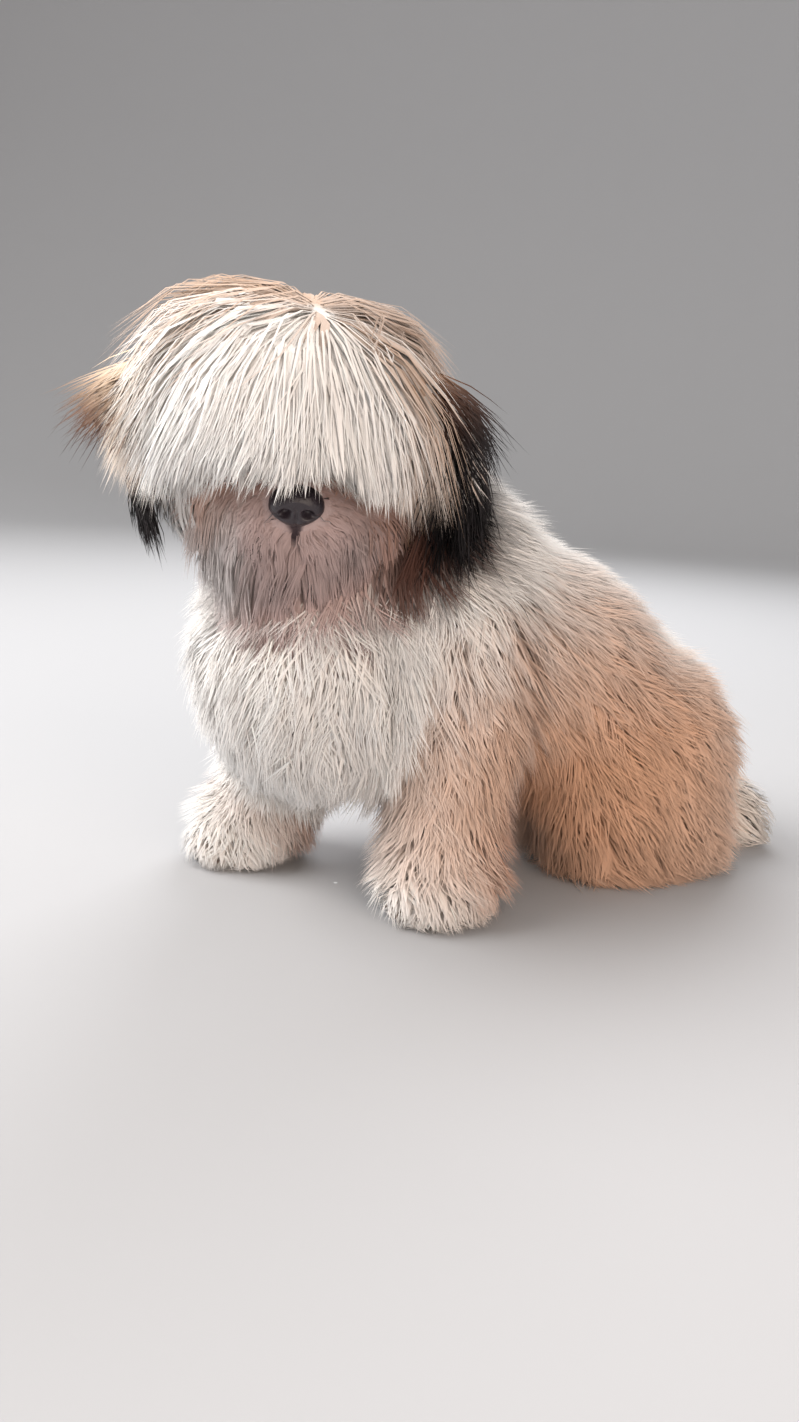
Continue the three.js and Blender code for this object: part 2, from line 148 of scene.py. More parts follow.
def hind(side):
    """The thigh, shank, foot and toes of a hind leg. Side is 1 for the left one and -1 for the right one."""
    return [
        ball((36 * side, 166, 54), (27, 48, 43), tipped(12)),
        limb((44 * side, 130, 42), (48 * side, 172, 18), 17, 14),
        limb((50 * side, 194, 12), (42 * side, 154, 11), 11, 13),
        ball((39 * side, 145, 11), (15, 19, 14)),
    ]


TAIL_ROUTE = np.array([[2, 206, 58], [10, 238, 24], [38, 250, 13]], float)
FLESH = {
    "torso": [
        ball((-5, -12, 117), (46, 40, 48)),
        ball((0, 52, 127), (48, 62, 55), tipped(-32)),
        ball((0, 116, 105), (50, 62, 48), tipped(-33)),
        ball((0, 170, 56), (48, 48, 54)),
    ],
    "neck": [limb((0, 34, 150), (3, -14, 200), 38, 34)],
    "skull": [
        head_ball(0, 5, 9, 46, 47, 43),
        head_ball(0, -22, 12, 32, 24, 28),
        head_ball(26, -16, -14, 21, 21, 21),
        head_ball(-26, -16, -14, 21, 21, 21),
        head_ball(0, -4, -30, 27, 30, 18),
    ],
    "muzzle": [
        head_ball(0, -38, -7, 14, 18, 12),
        head_ball(11, -41, -18, 16, 16, 14),
        head_ball(-11, -41, -18, 16, 16, 14),
        head_ball(0, -35, -32, 17, 17, 9),
    ],
    "fore_left": [
        limb((33, 34, 138), (38, 38, 86), 23, 20),
        limb((38, 38, 88), (51, 28, 26), 18, 13),
        ball((53, 25, 11), (17, 22, 14)),
    ],
    "fore_right": [
        limb((-33, 26, 138), (-40, 14, 86), 23, 19),
        limb((-41, 14, 88), (-52, -20, 26), 17, 12),
        ball((-53, -27, 11), (17, 22, 14)),
    ],
    "hind_left": hind(1),
    "hind_right": hind(-1),
    "tail": [limb(TAIL_ROUTE[i], TAIL_ROUTE[i + 1], 13 - 2 * i, 11 - 2 * i) for i in range(2)],
}
ALL_FLESH = [form for forms in FLESH.values() for form in forms]


def field(forms, p):
    """The least of the forms' distances, where two that are nearly the same run together: with
    h = max(BLEND - |a - b|, 0) / BLEND, the join is min(a, b) - h squared BLEND / 4."""
    near = np.full(p.shape[:-1], 1e3)
    for form in forms:
        d = form(p)
        h = np.maximum(BLEND - np.abs(near - d), 0) / BLEND
        near = np.minimum(near, d) - h * h * BLEND / 4
    return near


def slope(distance, p):
    """The value of a field at each point and the way in which it grows fastest, from four near points."""
    here = distance(p)
    steps = np.eye(3) * 0.4
    return here, unit(np.stack([distance(p + step) - here for step in steps], -1))


# Ears: a leaf that hangs from the side of the skull and is cupped across.
def ear_axes(side):
    """The ear's root and its ways: along it, through its leaf and across it."""
    along = unit(HEAD_TURN @ np.array([EAR["splay"] * side, 0.05, 0]) + DOWN * 0.92)
    thin = flat(HEAD_TURN @ np.array([side, -0.1, 0.3]), along)
    return on_head(43 * side, 6, 33), along, thin, np.cross(thin, along)


def on_ear(side, p):
    """Each point's share along the ear, its place across from -1 to 1 and its height over the leaf."""
    base, along, thin, wide = ear_axes(side)
    q = p - base
    share = q @ along / EAR["length"]
    x = q @ wide / (EAR["width"] / 2)
    bent = EAR["bow"] * np.sin(math.pi * np.clip(share, 0, 1)) - EAR["cup"] * np.clip(x * x, 0, 1.2)
    return share, x, q @ thin - bent


def ear_leaf(side):
    """A ball in the ear's own shares: long, wide and thin, bent along the cup."""
    radii = np.array([0.52 * EAR["length"], 0.51 * EAR["width"], EAR["thick"] / 2 + 0.4])
    leaf = ball((0, 0, 0), radii)

    def distance(p):
        share, x, lift = on_ear(side, p)
        q = np.stack([(share - 0.5) * EAR["length"], x * EAR["width"] / 2, lift], -1)
        return leaf(q)

    return distance


EARS = {name: ear_leaf(side) for name, side in SIDES.items()}

# The face.
EYES = {name: on_head(EYE_PLACE[0] * side, *EYE_PLACE[1:]) for name, side in SIDES.items()}
NOSE_AT = on_head(0, -57, -7)
NOSE_RADII = np.array([11.4, 7.5, 8.6])
MUZZLE_MIDDLE = on_head(0, -34, -16)
LIDS = [ball(at, [EYE_RADIUS + LID - 0.2] * 3) for at in EYES.values()]
OPENINGS = [head_ball(22.5 * side, -50, 6, 9.4, 11, 6.8) for side in SIDES.values()]
EYE_BALLS = [ball(at, [EYE_RADIUS + 1.5] * 3) for at in EYES.values()]
NOSE_BALL = ball(NOSE_AT, NOSE_RADII + 1.2, HEAD_TURN)


def reach(forms, start, ways):
    """The last point on each ray from inside the flesh, found by stepping in from afar."""
    r = np.full(len(ways), 150.0)
    for _ in range(50):
        r = np.maximum(r - 0.8 * field(forms, start + column(r) * ways), 0)
    return start + column(r) * ways


def lip_points():
    """The line of the mouth on the muzzle, a shallow curve that rises towards its corners, and the
    groove from it up to the nose."""
    x = np.linspace(-26, 26, 14)
    line = np.stack([x, np.full(14, -60.0), -26 + 0.008 * x * x], -1)
    groove = np.array([[0, -60, z] for z in (-14, -18, -22, -26)], float)
    places = np.concatenate([line, groove]) @ HEAD_TURN.T + HEAD_AT
    points = reach(FLESH["muzzle"], MUZZLE_MIDDLE, unit(places - MUZZLE_MIDDLE))
    return points[:14], points[14:]


LIPS, PHILTRUM = lip_points()
MOUTH = [limb(a, b, 1.7, 1.7) for line in (LIPS, PHILTRUM) for a, b in zip(line[:-1], line[1:])]


def mouth_distance(p):
    """The distance to the groove of the mouth."""
    return np.min([form(p) for form in MOUTH], 0)


def skin_field(p):
    """The flesh with ears and lids joined on, and the eyes' openings and the mouth cut in."""
    d = field(ALL_FLESH + list(EARS.values()), p)
    for lid in LIDS:
        d = np.minimum(d, lid(p))
    for opening in OPENINGS:
        d = np.maximum(d, -opening(p))
    near = np.abs(to_head(p) - np.array([0, -50, -24])).max(-1) < 34
    cut = np.full(d.shape, -1e3)
    cut[near] = -mouth_distance(p[near])
    return np.maximum(d, cut)


def hair_field(p):
    """What the coat lies on: the flesh, the eyes and the nose."""
    d = field(ALL_FLESH, p)
    for form in EYE_BALLS + [NOSE_BALL]:
        d = np.minimum(d, form(p))
    return d


# Meshes.
def add_mesh(name, points, faces):
    """A smooth mesh of points in millimetres of the dog's frame, put in metres where the model is."""
    mesh = bpy.data.meshes.new(name)
    mesh.from_pydata(((points + SHIFT) / 1000).tolist(), [], faces.tolist())
    mesh.polygons.foreach_set("use_smooth", np.ones(len(faces), bool))
    piece = bpy.data.objects.new(name, mesh)
    bpy.context.scene.collection.objects.link(piece)
    return piece


def paint(piece, colours):
    """Keeps a colour for each point as the attribute that the materials read."""
    attribute = piece.data.attributes.new("coat", "FLOAT_COLOR", "POINT")
    rgba = np.concatenate([colours, np.ones((len(colours), 1))], 1)
    attribute.data.foreach_set("color", rgba.astype(np.float32).ravel())


def net(distance, low, high, cell):
    """The surface where a field is 0, on a grid: each cell that it passes through gets one point, the
    mean of the crossings on the cell's edges, and each grid edge that it crosses joins the four cells
    round it."""
    axes = [np.arange(a, b + cell, cell) for a, b in zip(low, high)]
    grid = np.stack(np.meshgrid(*axes, indexing="ij"), -1)
    flat_grid = grid.reshape(-1, 3)
    values = np.concatenate([distance(part) for part in np.array_split(flat_grid, 24)])
    values = values.reshape(grid.shape[:3])
    inside = values < 0
    shape = np.array(values.shape) - 1
    total = np.zeros((*shape, 3))
    count = np.zeros(tuple(shape))
    corners = [(i, j, k) for i in (0, 1) for j in (0, 1) for k in (0, 1)]

    def at(array, corner):
        i, j, k = corner
        return array[i:i + shape[0], j:j + shape[1], k:k + shape[2]]

    for a in corners:
        for axis in range(3):
            if a[axis]:
                continue
            b = tuple(1 if n == axis else a[n] for n in range(3))
            crossed = at(inside, a) != at(inside, b)
            va, vb = at(values, a)[crossed], at(values, b)[crossed]
            share = column(va / (va - vb))
            total[crossed] += mix(at(grid, a)[crossed], at(grid, b)[crossed], share)
            count += crossed
    used = count > 0
    points = total[used] / column(count[used])
    number = np.full(count.shape, -1)
    number[used] = np.arange(len(points))
    faces = []
    for axis in range(3):
        u, w = [n for n in range(3) if n != axis]
        first = inside[tuple(slice(0, -1) if n == axis else slice(None) for n in range(3))]
        second = inside[tuple(slice(1, None) if n == axis else slice(None) for n in range(3))]
        edge = np.argwhere(first != second)
        edge = edge[(edge[:, u] > 0) & (edge[:, w] > 0) & (edge[:, u] < shape[u]) & (edge[:, w] < shape[w])]
        ring = []
        for du, dw in ((-1, -1), (0, -1), (0, 0), (-1, 0)):
            cells = edge.copy()
            cells[:, u] += du
            cells[:, w] += dw
            ring.append(number[tuple(cells.T)])
        quads = np.stack(ring, -1)
        outward = first[tuple(edge.T)] != (axis == 1)
        faces.append(np.where(outward[:, None], quads, quads[:, ::-1]))
    return points, np.concatenate(faces)


def head_angles(p):
    """How far round from the front and how far up each point lies, in degrees, from the skull's middle."""
    q = to_head(p)
    turn = np.abs(np.degrees(np.arctan2(q[:, 0], -q[:, 1])))
    return turn, np.degrees(np.arctan2(q[:, 2] - 4, np.hypot(q[:, 0], q[:, 1])))


# Markings. White forelock and chest, tan crown and brown ears that end near black. A warm wash on the body
# is partly the coat's own cream and apricot and partly painted warm shade, red-brown painted shade lies in
# the creases and under the beard, and the grey-brown muzzle is partly a stain and partly painted shade.
WHITE = np.array([0.96, 0.93, 0.90])
# Partly the coat's own cream and partly painted warm shade.
CREAM_AND_LOW_SHADE = np.array([0.90, 0.77, 0.66])
# Partly the coat's own apricot and partly painted warm shade on the flanks.
APRICOT_AND_FLANK_SHADE = np.array([0.72, 0.40, 0.24])
# Painted red-brown shade in creases, and a stain round the eyes.
RED_BROWN_SHADE_AND_STAIN = np.array([0.50, 0.22, 0.12])
TAN = np.array([0.50, 0.29, 0.16])
FAWN = np.array([0.76, 0.57, 0.41])
BROWN = np.array([0.13, 0.055, 0.03])
# Painted shadow under the beard.
BEARD_SHADOW = np.array([0.10, 0.035, 0.02])
BLACK = np.array([0.012, 0.008, 0.009])
# Partly a stain and partly painted shade under the forelock.
MUZZLE_STAIN_AND_SHADE = np.array([0.42, 0.27, 0.25])
LIP = np.array([0.05, 0.03, 0.035])


def spot(p, at, size):
    """1 at a place, falling to 0 by the given size away."""
    return 1 - ramp(np.linalg.norm(p - np.array(at, float), axis=-1), 0.35 * size, size)


def markings(p, ears=False):
    """The coat's colour at places on the skin, with painted shade in it on the body, neck and face."""
    q = to_head(p)
    colour = np.broadcast_to(WHITE, p.shape).copy()

    def blend(other, share):
        colour[:] = mix(colour, other, column(np.clip(share, 0, 1)))

    # Cream over the rear body, stronger lower down: partly the coat's own cream, partly painted warm shade.
    body = ramp(p[:, 1], 10, 60) * (1 - ramp(q[:, 2], -30, 0) * (p[:, 2] > 170))
    blend(CREAM_AND_LOW_SHADE, 0.5 * body * (1 - ramp(p[:, 2], 60, 150)))
    # Apricot spots on the flanks and thighs: partly the coat's own tone, partly painted warm shade.
    for at in ((60, 70, 70), (60, 120, 60), (62, 90, 110), (-60, 90, 50), (56, 160, 50)):
        blend(APRICOT_AND_FLANK_SHADE, 0.6 * spot(p, at, 92))
    # Painted shade: red-brown spots in the creases behind the forelegs.
    for at in ((42, 56, 60), (48, 50, 34), (-44, 34, 60), (-50, 4, 34)):
        blend(RED_BROWN_SHADE_AND_STAIN, 0.8 * spot(p, at, 36))
    head = ramp(p[:, 2], 165, 190) * (1 - ramp(p[:, 1], 10, 45))
    turn, climb = head_angles(p)
    blend(TAN, 0.85 * ramp(q[:, 1], 0, 12) * ramp(climb, -10, 20) * head)
    start = np.where(q[:, 0] > 0, 38, 52)
    side = ramp(turn, start, start + 26) * ramp(climb, -20, 5) * (1 - ramp(climb, 60, 78))
    blend(TAN, 0.6 * side * head)
    # Grey-brown muzzle: partly a stain, partly painted shade under the forelock, less on the dog's right.
    face = (1 - ramp(np.linalg.norm(p - MUZZLE_MIDDLE, axis=-1), 30, 54)) * ramp(-q[:, 1], 4, 22)
    blend(MUZZLE_STAIN_AND_SHADE, 0.85 * face * (1 - ramp(q[:, 2], 8, 20)) * (1 - 0.55 * ramp(-q[:, 0], 12, 24)))
    ahead = np.where(q[:, 0] > 0, -36, -24)
    cheek = ramp(np.abs(q[:, 0]), 36, 44) * ramp(q[:, 1], ahead, ahead + 10) * (1 - ramp(q[:, 2], -12, 4))
    blend(BLACK, 0.9 * cheek * head)
    # Painted shadow: a dark red-brown patch on the neck under the beard.
    blend(BEARD_SHADOW, 0.85 * spot(p, (42, 0, 192), 25))
    # Round the eyes: a red-brown stain and painted shade under the forelock.
    blend(RED_BROWN_SHADE_AND_STAIN, 0.65 * np.maximum(*[spot(p, at, 26) for at in EYES.values()]))
    if ears:
        for side in SIDES.values():
            share, x, lift = on_ear(side, p)
            on = (np.abs(lift) < 5) & (np.abs(x) < 1.15) & (share > -0.08) & (share < 1.1)
            blend(ear_colours(side, p), on * 1.0)
    return colour


def ear_colours(side, p):
    """Tan at the ear's root, brown further down and near black from its middle to the hair's end. The
    right ear keeps more of the tan, and is paler."""
    share = on_ear(side, p)[0]
    first, tan, dark = (FAWN, (0.35, 0.8), (0.7, 1.1)) if side < 0 else (TAN, (0.0, 0.4), (0.25, 0.75))
    colour = mix(first, BROWN, column(ramp(share, *tan)))
    return mix(colour, BLACK, column(ramp(share, *dark)))


# The skin, on a grid between two corners.
LOW, HIGH = (-80, -130, -6), (100, 270, 285)
skin_points, skin_faces = net(skin_field, LOW, HIGH, CELL)
for _ in range(3):
    value, way = slope(skin_field, skin_points)
    skin_points = skin_points - way * column(np.clip(value, -1.5, 1.5) * 0.8)
skin_points[:, 2] = np.maximum(skin_points[:, 2], SKIN_FLOOR)
skin = add_mesh("skin", skin_points, skin_faces)
skin_colours = markings(skin_points, ears=True)
lip_share = column(1 - ramp(mouth_distance(skin_points), 0.0, 1.5))
paint(skin, mix(skin_colours, LIP, lip_share))

bpy.context.view_layer.objects.active = skin
skin.select_set(True)
skin.data.uv_layers.new(name="OFBake")
bpy.ops.object.mode_set(mode="EDIT")
bpy.ops.mesh.select_all(action="SELECT")
bpy.ops.uv.smart_project(angle_limit=math.radians(66), island_margin=0.004)
bpy.ops.object.mode_set(mode="OBJECT")
skin.select_set(False)
uv = np.empty(len(skin.data.loops) * 2, np.float32)
skin.data.uv_layers["OFBake"].data.foreach_get("uv", uv)
skin_uv = uv.reshape(-1, 4, 2)

# Places for roots: halves of the skin's faces, picked by area. Each half belongs to the part whose form is
# nearest, and an ear wins past its root where the skull is up to EAR_LIFT nearer.
EAR_LIFT = 4.0
HALVES = [0, 1, 2], [0, 2, 3]
tri_points = np.concatenate([skin_points[skin_faces[:, half]] for half in HALVES])
tri_uv = np.concatenate([skin_uv[:, half] for half in HALVES])
tri_edges = tri_points[:, 1:] - tri_points[:, :1]
tri_area = np.linalg.norm(np.cross(tri_edges[:, 0], tri_edges[:, 1]), axis=1)
tri_middle = tri_points.mean(1)
part_names = [*FLESH, "ear_left", "ear_right"]
part_values = [field(forms, tri_middle) for forms in FLESH.values()]
for name, side in SIDES.items():
    past_root = on_ear(side, tri_middle)[0] > 0.04
    part_values.append(EARS[name](tri_middle) - EAR_LIFT * past_root)
tri_part = np.argmin(part_values, 0)
tri_mouth = mouth_distance(tri_middle)
tri_open = np.min([form(tri_middle) for form in OPENINGS], 0)
tri_nose = NOSE_BALL(tri_middle)

rng = np.random.default_rng(11)


def roots(parts, count, density=None):
    """Random places on the skin of the named parts, clear of the floor, mouth, eyes and nose, evenly by
    area or by a density at each place."""
    chosen = np.isin(tri_part, [part_names.index(name) for name in parts])
    chosen &= (tri_middle[:, 2] > 2) & (tri_mouth > 0.3) & (tri_open > 0.6) & (tri_nose > 0.6)
    weight = tri_area * chosen
    if density is not None:
        weight = weight * density(tri_middle)
    total = np.cumsum(weight)
    at = np.searchsorted(total, (np.arange(count) + rng.random(count)) / count * total[-1])
    at = np.minimum(at, len(total) - 1)
    a, b = rng.random((2, count))
    over = a + b > 1
    a[over], b[over] = 1 - a[over], 1 - b[over]
    shares = np.stack([1 - a - b, a, b], -1)
    point = (tri_points[at] * shares[..., None]).sum(1)
    place = (tri_uv[at] * shares[..., None]).sum(1)
    return point, place


def turned(ways, axis, angle):
    """Ways turned about axes by angles."""
    c, s = column(np.cos(angle)), column(np.sin(angle))
    return ways * c + np.cross(axis, ways) * s + axis * column((ways * axis).sum(-1)) * (1 - c)


def nearest(points, guides):
    """The number of the guide nearest to each point."""
    groups = np.array_split(points, max(len(points) // 400, 1))
    return np.concatenate([((group[:, None] - guides) ** 2).sum(-1).argmin(1) for group in groups])


# The steps of a line as it grows, and how far under the skin it starts.
FINE = 8
SUNK = -1.0


def grow(point, style, lie):
    """The middle line of each tuft, from just under the skin, and the way out of the coat along it. It
    starts between the lie and the skin's normal, by the share "stand", and bends over into the lie, while
    "hang" draws it down. After i of n steps its height asked for is rise (i / n) ** climb: it is pushed
    out to that, or drawn in by the share "cling" where it is higher."""
    value, normal = slope(hair_field, point)
    p = point + normal * SUNK
    way = unit(mix(lie(p, normal), normal, column(style["stand"])))
    line, outs = [p], [normal]
    for i in range(1, FINE + 1):
        p = p + way * column(style["length"] / FINE)
        value, out = slope(hair_field, p)
        lack = mix(SUNK, style["rise"], (i / FINE) ** style["climb"]) - value
        p = p + out * column(np.where(lack > 0, lack, lack * style["cling"]))
        p[:, 2] = np.maximum(p[:, 2], GROW_FLOOR)
        line.append(p)
        outs.append(out)
        onward = turned(lie(p, out), out, style["sway"])
        way = unit(mix(way, onward, 0.6) + DOWN * column(style["hang"]))
    line, outs = np.stack(line, 1), np.stack(outs, 1)
    for _ in range(3):
        line[:, 1:-1] += 0.25 * (line[:, :-2] - 2 * line[:, 1:-1] + line[:, 2:])
    return line, outs


def redraw(line, outs, steps, end=1.0, crowd=1.0):
    """Each line over again with fewer points up to a share of its length. They are even where crowd is 1,
    and closer together near the root where it is more."""
    fine = line.shape[1] - 1
    at = np.linspace(0, 1, steps + 1)[None, :] ** crowd * np.broadcast_to(end, len(line))[:, None] * fine
    low = np.minimum(at.astype(int), fine - 1)
    row = np.arange(len(line))[:, None]
    share = (at - low)[..., None]
    new_outs = unit(mix(outs[row, low], outs[row, low + 1], share))
    return mix(line[row, low], line[row, low + 1], share), new_outs


def hem(line, height):
    """The share of each line at which it first falls below a height, or 1 where it doesn't."""
    z = line[..., 2]
    below = z < height[:, None]
    first = np.maximum(below.argmax(1), 1)
    row = np.arange(len(line))
    share = (z[row, first - 1] - height) / np.maximum(z[row, first - 1] - z[row, first], 1e-6)
    end = (first - 1 + np.clip(share, 0, 1)) / (line.shape[1] - 1)
    return np.where(below.any(1), np.maximum(end, 0.3), 1.0)


def lock_guides(point, clump):
    """The tuft that guides each tuft's lock: the nearest of a random few, one in every clump."""
    guides = rng.choice(len(point), max(len(point) // clump, 1), replace=False)
    return guides[nearest(point, point[guides])]


def gather(point, line, own, strength):
    """Draws the tufts of a lock together: each line runs over, towards its tip, into the line of its
    guide, but keeps some of the place that its root has beside that of the guide."""
    share = np.linspace(0, 1, line.shape[1])[None, :, None] ** 1.3 * strength
    aside = (point - point[own])[:, None] * 0.22
    return mix(line, line[own] + aside, share)


def wave(line, outs, own, size, turns):
    """Bends each line from side to side and in and out, more towards the tip, alike within a lock."""
    steps = line.shape[1]
    share = np.linspace(0, 1, steps)[None, :]
    phase = rng.random(len(line))[own][:, None] * 2 * math.pi + rng.normal(0, 0.5, (len(line), 1))
    along = unit(np.gradient(line, axis=1))
    across = unit(np.cross(outs, along))
    a = np.sin(2 * math.pi * turns * share + phase) - np.sin(phase)
    b = np.cos(2 * math.pi * turns * share + phase) - np.cos(phase)
    grown = size * share
    return line + across * (a * grown)[..., None] + outs * (b * grown * 0.5)[..., None]


# How far the light on a tuft follows the coat's own outward way rather than the tuft's three sides, the
# width along a tuft by its number of steps, and the side of its patch on the map.
SOFT = 0.92
TAPER = {4: [0.6, 1.0, 0.95, 0.6, 0.0], 3: [0.8, 1.0, 0.75, 0.0], 2: [0.9, 1.0, 0.0]}
PATCH = 0.003


def tufts(name, line, outs, place, width, colours, thin=1.0):
    """Joined tufts of three sides. At each point of a line a low triangle, its ridge outwards, is wide
    across the skin and thin through, tapered to a point, and a triangle closes the root."""
    count, steps = line.shape[0], line.shape[1] - 1
    along = unit(np.gradient(line, axis=1))
    across = unit(np.cross(outs, along))
    through = np.cross(along, across) * thin
    size = np.array(TAPER[steps])[None, :, None] * width[:, None, None] / 2
    corner = [(-1.0, -0.28), (1.0, -0.28), (0.0, 0.56)]
    rings = np.stack([line + across * size * x + through * size * y for x, y in corner], 2)
    points = np.concatenate([rings[:, :-1].reshape(count, -1, 3), line[:, -1:]], 1)
    points[..., 2] = np.maximum(points[..., 2], TUFT_FLOOR)
    sides = []
    for i in range(steps - 1):
        for j in range(3):
            a, b = 3 * i + j, 3 * i + (j + 1) % 3
            sides += [(a, b, b + 3), (a, b + 3, a + 3)]
    tip = 3 * steps
    sides += [(tip - 3 + j, tip - 3 + (j + 1) % 3, tip) for j in range(3)] + [(2, 1, 0)]
    pattern = np.array(sides)
    faces = (pattern[None] + (np.arange(count) * (tip + 1))[:, None, None]).reshape(-1, 3)
    piece = add_mesh(name, points.reshape(-1, 3), faces)
    away = np.stack([across * x + outs * y for x, y in ((-0.8, -0.6), (0.8, -0.6), (0.0, 1.0))], 2)
    away = unit(away) * (1 - SOFT) + outs[:, :, None] * SOFT
    away = np.concatenate([away[:, :-1].reshape(count, -1, 3), outs[:, -1:]], 1)
    piece.data.normals_split_custom_set_from_vertices(unit(away.reshape(-1, 3)).tolist())
    share = np.append(np.repeat(np.arange(steps) / steps, 3), 1.0)
    paint(piece, colours(share).reshape(-1, 3))
    patch = np.stack([np.append(np.tile([0, 0.5, 1], steps), 0.5), share], -1) * PATCH - PATCH / 2
    spots = (place[:, None] + patch[None]).reshape(-1, 2)
    layer = piece.data.uv_layers.new(name="OFBake")
    layer.data.foreach_set("uv", spots[faces.ravel()].astype(np.float32).ravel())
    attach(piece, "root")
    return piece


# The lie of the coat: a way along the skin at each place, lifted off it a little on the body.
LIFTED = 0.3


def body_lie(p, normal):
    """Down, a little forwards on the chest, and back towards the rump and on top of the neck and back."""
    back = np.maximum(mix(-0.1, 0.5, ramp(p[:, 1], 0, 70)), mix(-0.1, 0.5, ramp(normal[:, 2], 0.1, 0.5)))
    way = flat(np.stack([np.zeros(len(p)), back, np.full(len(p), -0.9)], -1), normal)
    return unit(way + LIFTED * normal)


def leg_lie(p, normal):
    """Straight down the leg and a little out."""
    return unit(flat(np.array([0, 0.1, -1.0]), normal) + LIFTED * normal)


def thigh_lie(p, normal):
    """Down and back over the thigh."""
    way = np.stack([0.1 * np.sign(p[:, 0]), np.full(len(p), 0.5), np.full(len(p), -0.9)], -1)
    return unit(flat(way, normal) + LIFTED * normal)


def tail_lie(p, normal):
    """Along the tail, which lies round to the dog's left."""
    return flat(np.array([0.8, 0.25, -0.2]), normal)


PARTING = on_head(9, -6, 60), on_head(4, 40, 54)


def parting_place(p):
    """The nearest point of the parting to each place."""
    start, end = PARTING
    along = end - start
    share = np.clip((p - start) @ along / (along @ along), 0, 1)
    return start + column(share) * along


def crown_lie(p, normal):
    """Away from the parting on top of the head, and down."""
    return flat(unit(p - parting_place(p)) + DOWN * 0.5, normal)


# A tuft's colour at its root, as a share of its colour at the tip, on the body and on the head: painted
# shade deep in the coat, warm on the body. Then the darkest and lightest values that a tuft has.
WARM_ROOT_SHADE = np.array([0.96, 0.87, 0.80])
PALE_ROOT_SHADE = np.array([0.98, 0.95, 0.93])
DARKEST, LIGHTEST = 0.004, 0.96


def shades(base, spread=0.03, root=WARM_ROOT_SHADE):
    """Colours for the points of each tuft: lighter and darker ones side by side, each darker at its root as
    painted shade deep in the coat. The base is one colour for each tuft, or one for each point of its line."""
    light = 1 + spread * rng.normal(0, 1, (len(base), 1, 1))
    edges = 1 + 0.8 * spread * rng.normal(0, 1, (len(base), 3))

    def at(share):
        edge = np.append(np.tile([0, 1, 2], len(share) // 3), 0)
        # Painted shade: darker towards the root.
        grown = mix(root, 1.0, column(ramp(share, 0.1, 0.9)))[None] * edges[:, edge, None]
        if base.ndim == 2:
            return np.clip(base[:, None] * light * grown, DARKEST, LIGHTEST)
        ring = np.append(np.repeat(np.arange(base.shape[1] - 1), 3), base.shape[1] - 1)
        return np.clip(base[:, ring] * light * grown, DARKEST, LIGHTEST)

    return at


coats = []


def coat(name, parts, count, style, lie, width, steps=3, density=None, lock=(12, 0.5), curl=(3.0, 0.8),
         depth=(0.82, 1.06), sway=0.35, thin=0.6, edge=None, root=WARM_ROOT_SHADE, stray=0.0, crowd=1.0, tint=None):
    """One piece of the coat. Lock is how many tufts share a guide and how far they are drawn to it, curl
    is the size and number of the waves, depth the least and most share of the height, sway how far the
    tufts turn from the lie, thin the share of a tuft's thickness, edge the height at which they are cut,
    root the painted shade deep in the coat at the root, stray the share of tufts that stand out of the
    coat, crowd how close a tuft's points lie near its root, and tint what turns the colours by where the
    tufts hang."""
    point, place = roots(parts, count, density)
    sizes = {key: np.broadcast_to(value, count).astype(float) for key, value in style(point).items()}
    level = np.sqrt(rng.random(count))
    sizes["rise"] = sizes["rise"] * mix(*depth, level) * np.where(rng.random(count) < stray, 1.22, 1)
    sizes["length"] = sizes["length"] * mix(0.8, 1.1, level) * rng.uniform(0.85, 1.15, count)
    sizes["length"] = np.minimum(sizes["length"], 1.3 * point[:, 2] + 8)
    own = lock_guides(point, lock[0])
    sizes["sway"] = sway * (0.75 * rng.normal(0, 1, count)[own] + 0.5 * rng.normal(0, 1, count))
    line, outs = grow(point, sizes, lie)
    line = gather(point, line, own, lock[1])
    line = wave(line, outs, own, *curl)
    line[..., 2] = np.maximum(line[..., 2], LINE_FLOOR)
    end = 1.0
    if edge is not None:
        height = edge(line[:, -1]) + rng.normal(0, 5, count)[own] + rng.normal(0, 3, count)
        end = np.where(point[:, 2] > height + 4, hem(line, height), 1.0)
    line, outs = redraw(line, outs, steps, end, crowd)
    base = mix(markings(point), markings(point[own]), 0.6)
    if tint is not None:
        base = tint(base, line[:, -2], own)
    tone = 1 + column(rng.normal(0, 0.03, count)[own])
    size = width * rng.uniform(0.75, 1.25, count)
    coats.append(tufts(name, line, outs, place, size, shades(base * tone, root=root), thin))


# The body: fine long tufts over a layer of broad, thin ones that fills the coat between them.
TRUNK = ["neck", "torso", "hind_left", "hind_right", "tail"]


def top(p):
    """1 along the top of the back and 0 away from it."""
    return ramp(p[:, 2], 125, 165) * ramp(p[:, 1], 45, 60) * (1 - ramp(np.abs(p[:, 0]), 22, 40))


def long_hair(length, rise, paw=1.0):
    """Sizes for the body's tufts: one length and one height, but shorter by a share down at the paws, and
    closer to the skin on top of the back."""
    def style(point):
        small = mix(paw, 1.0, ramp(point[:, 2], 6, 42))
        return {"length": length * small, "rise": rise * small * (1 - 0.25 * top(point)),
                "stand": 0.6 - 0.3 * top(point), "hang": 0.02, "cling": 0.5, "climb": 0.65}

    return style


def filled(p):
    """Everywhere, and more on top of the back."""
    return 1 + 1.2 * top(p)


def chest(p):
    """1 on the front of the trunk."""
    return (p[:, 1] < 50) * 1.0


def back_half(side):
    """The rear of the trunk on one side."""
    return lambda p: (p[:, 1] >= 50) * (p[:, 0] * side > 0) * filled(p)


